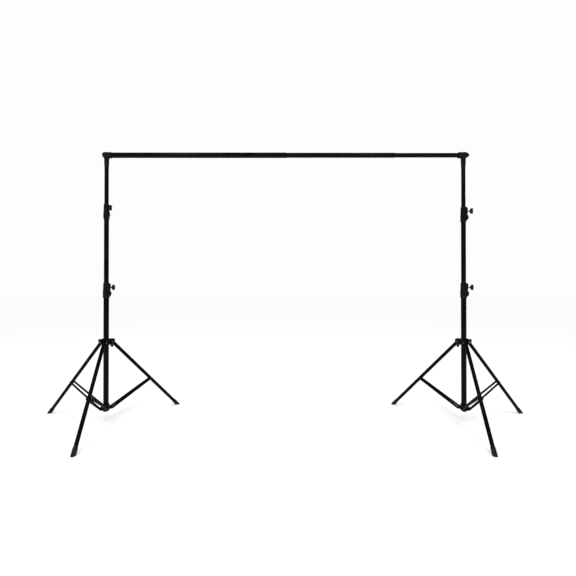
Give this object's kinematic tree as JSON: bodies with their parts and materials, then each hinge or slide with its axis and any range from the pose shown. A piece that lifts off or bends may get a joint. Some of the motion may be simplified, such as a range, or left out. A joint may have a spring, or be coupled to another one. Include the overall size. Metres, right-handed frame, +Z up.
{
  "type": "background support system",
  "caption": "Portable photo backdrop support: folding tripod stands carrying a telescopic crossbar, with wing-knob height clamps.",
  "frame": {"origin": "on the floor, under the middle of the stands' footprint", "axes": "+X along the crossbar towards its thin end, +Y away from the side the forward legs point to, +Z up"},
  "size_m": [4.2786, 1.03, 2.286],
  "materials": {
    "tube": "glossy black enamel on aluminium tube",
    "casting": "matt black moulding",
    "strut": "satin black enamel on aluminium strip",
    "rubber": "dull black",
    "knob": "matt black moulding",
    "steel": "zinc-plated steel"
  },
  "bodies": {
    "left_column": {"left_column_tube": "tube", "left_base_plug": "casting", "left_base_collar": "casting", "left_lower_clamp": "casting"},
    "left_mid": {"left_mid_tube": "tube", "left_mid_bush": "casting", "left_upper_clamp": "casting"},
    "left_top": {"left_top_tube": "tube", "left_top_bush": "casting", "left_spigot": "steel"},
    "left_spider": {"left_leg_spider": "casting", "left_leg_bolt_a": "steel", "left_leg_bolt_b": "steel", "left_leg_bolt_c": "steel"},
    "left_leg_a": {"left_leg_a": "tube", "left_foot_a": "rubber"},
    "left_strut_a": {"left_strut_a": "strut"},
    "left_leg_b": {"left_leg_b": "tube", "left_foot_b": "rubber"},
    "left_strut_b": {"left_strut_b": "strut"},
    "left_leg_c": {"left_leg_c": "tube", "left_foot_c": "rubber"},
    "left_strut_c": {"left_strut_c": "strut"},
    "left_lower_knob": {"left_lower_knob": "knob"},
    "left_upper_knob": {"left_upper_knob": "knob"},
    "left_spider_knob": {"left_spider_knob": "knob"},
    "right_column": {"right_column_tube": "tube", "right_base_plug": "casting", "right_base_collar": "casting", "right_lower_clamp": "casting"},
    "right_mid": {"right_mid_tube": "tube", "right_mid_bush": "casting", "right_upper_clamp": "casting"},
    "right_top": {"right_top_tube": "tube", "right_top_bush": "casting", "right_spigot": "steel"},
    "right_spider": {"right_leg_spider": "casting", "right_leg_bolt_a": "steel", "right_leg_bolt_b": "steel", "right_leg_bolt_c": "steel"},
    "right_leg_a": {"right_leg_a": "tube", "right_foot_a": "rubber"},
    "right_strut_a": {"right_strut_a": "strut"},
    "right_leg_b": {"right_leg_b": "tube", "right_foot_b": "rubber"},
    "right_strut_b": {"right_strut_b": "strut"},
    "right_leg_c": {"right_leg_c": "tube", "right_foot_c": "rubber"},
    "right_strut_c": {"right_strut_c": "strut"},
    "right_lower_knob": {"right_lower_knob": "knob"},
    "right_upper_knob": {"right_upper_knob": "knob"},
    "right_spider_knob": {"right_spider_knob": "knob"},
    "bar_outer": {"left_end_fitting": "casting", "bar_outer_tube": "tube"},
    "bar_mid": {"bar_mid_tube": "tube", "bar_mid_plug": "casting"},
    "bar_inner": {"bar_inner_tube": "tube", "bar_inner_plug": "casting", "right_end_fitting": "casting"}
  },
  "joints": [
    {"name": "left_mid_slide", "type": "slide", "parent": "left_column", "child": "left_mid", "axis": [0, 0, 1], "range_m": [-0.509, 0.148]},
    {"name": "left_top_slide", "type": "slide", "parent": "left_mid", "child": "left_top", "axis": [0, 0, 1], "range_m": [-0.316, 0.349]},
    {"name": "left_bar_swivel", "type": "hinge", "parent": "left_top", "child": "bar_outer", "pos_m": [-1.525, 0.10904, 2.26], "axis": [0, 0, 1], "continuous": true},
    {"name": "bar_mid_slide", "type": "slide", "parent": "bar_outer", "child": "bar_mid", "axis": [1, 0, 0], "range_m": [-0.899, 0.38]},
    {"name": "bar_inner_slide", "type": "slide", "parent": "bar_mid", "child": "bar_inner", "axis": [1, 0, 0], "range_m": [-0.528, 0.58]},
    {"name": "right_stand_swivel", "type": "hinge", "parent": "bar_inner", "child": "right_top", "pos_m": [1.525, 0.10904, 2.26], "axis": [0, 0, 1], "continuous": true},
    {"name": "right_top_slide", "type": "slide", "parent": "right_top", "child": "right_mid", "axis": [0, 0, -1], "range_m": [-0.316, 0.349]},
    {"name": "right_mid_slide", "type": "slide", "parent": "right_mid", "child": "right_column", "axis": [0, 0, -1], "range_m": [-0.509, 0.148]},
    {"name": "left_leg_a_fold", "type": "hinge", "parent": "left_spider", "child": "left_leg_a", "pos_m": [-1.57136, 0.12146, 0.664], "axis": [-0.2588, -0.9659, 0], "range_deg": [0, 36.6]},
    {"name": "left_spider_slide", "type": "slide", "parent": "left_column", "child": "left_spider", "axis": [0, 0, 1], "range_m": [0, 0.2939]},
    {"name": "left_leg_b_fold", "type": "hinge", "parent": "left_spider", "child": "left_leg_b", "pos_m": [-1.51584, 0.06192, 0.664], "axis": [0.9816, 0.1908, 0], "range_deg": [0, 36.6]},
    {"name": "left_leg_c_fold", "type": "hinge", "parent": "left_spider", "child": "left_leg_c", "pos_m": [-1.4877, 0.13925, 0.664], "axis": [-0.6293, 0.7771, 0], "range_deg": [0, 36.6]},
    {"name": "left_strut_a_fold", "type": "hinge", "parent": "left_column", "child": "left_strut_a", "pos_m": [-1.56557, 0.11991, 0.104], "axis": [0.2588, 0.9659, 0], "range_deg": [0, 52.57]},
    {"name": "left_strut_b_fold", "type": "hinge", "parent": "left_column", "child": "left_strut_b", "pos_m": [-1.51699, 0.06781, 0.104], "axis": [-0.9816, -0.1908, 0], "range_deg": [0, 52.57]},
    {"name": "left_strut_c_fold", "type": "hinge", "parent": "left_column", "child": "left_strut_c", "pos_m": [-1.49236, 0.13547, 0.104], "axis": [0.6293, -0.7771, 0], "range_deg": [0, 52.57]},
    {"name": "left_lower_knob_turn", "type": "hinge", "parent": "left_column", "child": "left_lower_knob", "pos_m": [-1.525, 0.10904, 1.13], "axis": [0.9976, -0.0698, 0], "range_deg": [0, 720]},
    {"name": "left_upper_knob_turn", "type": "hinge", "parent": "left_mid", "child": "left_upper_knob", "pos_m": [-1.525, 0.10904, 1.802], "axis": [0.8572, -0.515, 0], "range_deg": [0, 720]},
    {"name": "left_spider_knob_turn", "type": "hinge", "parent": "left_spider", "child": "left_spider_knob", "pos_m": [-1.525, 0.10904, 0.65], "axis": [0.9397, -0.342, 0], "range_deg": [0, 720]},
    {"name": "right_leg_a_fold", "type": "hinge", "parent": "right_spider", "child": "right_leg_a", "pos_m": [1.57136, 0.12146, 0.664], "axis": [-0.2588, 0.9659, 0], "range_deg": [0, 36.6]},
    {"name": "right_spider_slide", "type": "slide", "parent": "right_column", "child": "right_spider", "axis": [0, 0, 1], "range_m": [0, 0.2939]},
    {"name": "right_leg_b_fold", "type": "hinge", "parent": "right_spider", "child": "right_leg_b", "pos_m": [1.51584, 0.06192, 0.664], "axis": [0.9816, -0.1908, 0], "range_deg": [0, 36.6]},
    {"name": "right_leg_c_fold", "type": "hinge", "parent": "right_spider", "child": "right_leg_c", "pos_m": [1.4877, 0.13925, 0.664], "axis": [-0.6293, -0.7771, 0], "range_deg": [0, 36.6]},
    {"name": "right_strut_a_fold", "type": "hinge", "parent": "right_column", "child": "right_strut_a", "pos_m": [1.56557, 0.11991, 0.104], "axis": [0.2588, -0.9659, 0], "range_deg": [0, 52.57]},
    {"name": "right_strut_b_fold", "type": "hinge", "parent": "right_column", "child": "right_strut_b", "pos_m": [1.51699, 0.06781, 0.104], "axis": [-0.9816, 0.1908, 0], "range_deg": [0, 52.57]},
    {"name": "right_strut_c_fold", "type": "hinge", "parent": "right_column", "child": "right_strut_c", "pos_m": [1.49236, 0.13547, 0.104], "axis": [0.6293, 0.7771, 0], "range_deg": [0, 52.57]},
    {"name": "right_lower_knob_turn", "type": "hinge", "parent": "right_column", "child": "right_lower_knob", "pos_m": [1.525, 0.10904, 1.13], "axis": [0.9397, -0.342, 0], "range_deg": [0, 720]},
    {"name": "right_upper_knob_turn", "type": "hinge", "parent": "right_mid", "child": "right_upper_knob", "pos_m": [1.525, 0.10904, 1.778], "axis": [0.9397, -0.342, 0], "range_deg": [0, 720]},
    {"name": "right_spider_knob_turn", "type": "hinge", "parent": "right_spider", "child": "right_spider_knob", "pos_m": [1.525, 0.10904, 0.65], "axis": [-0.9397, -0.342, 0], "range_deg": [0, 720]}
  ],
  "couplings": [
    {"joint": "right_top_slide", "follows": "left_top_slide", "ratio": 1},
    {"joint": "right_mid_slide", "follows": "left_mid_slide", "ratio": 1},
    {"joint": "left_spider_slide", "follows": "left_leg_a_fold", "m_per_rad": 0.45761},
    {"joint": "left_leg_b_fold", "follows": "left_leg_a_fold", "ratio": 1},
    {"joint": "left_leg_c_fold", "follows": "left_leg_a_fold", "ratio": 1},
    {"joint": "left_strut_a_fold", "follows": "left_leg_a_fold", "ratio": 1.4337},
    {"joint": "left_strut_b_fold", "follows": "left_leg_a_fold", "ratio": 1.4337},
    {"joint": "left_strut_c_fold", "follows": "left_leg_a_fold", "ratio": 1.4337},
    {"joint": "right_spider_slide", "follows": "right_leg_a_fold", "m_per_rad": 0.45761},
    {"joint": "right_leg_b_fold", "follows": "right_leg_a_fold", "ratio": 1},
    {"joint": "right_leg_c_fold", "follows": "right_leg_a_fold", "ratio": 1},
    {"joint": "right_strut_a_fold", "follows": "right_leg_a_fold", "ratio": 1.4337},
    {"joint": "right_strut_b_fold", "follows": "right_leg_a_fold", "ratio": 1.4337},
    {"joint": "right_strut_c_fold", "follows": "right_leg_a_fold", "ratio": 1.4337}
  ]
}
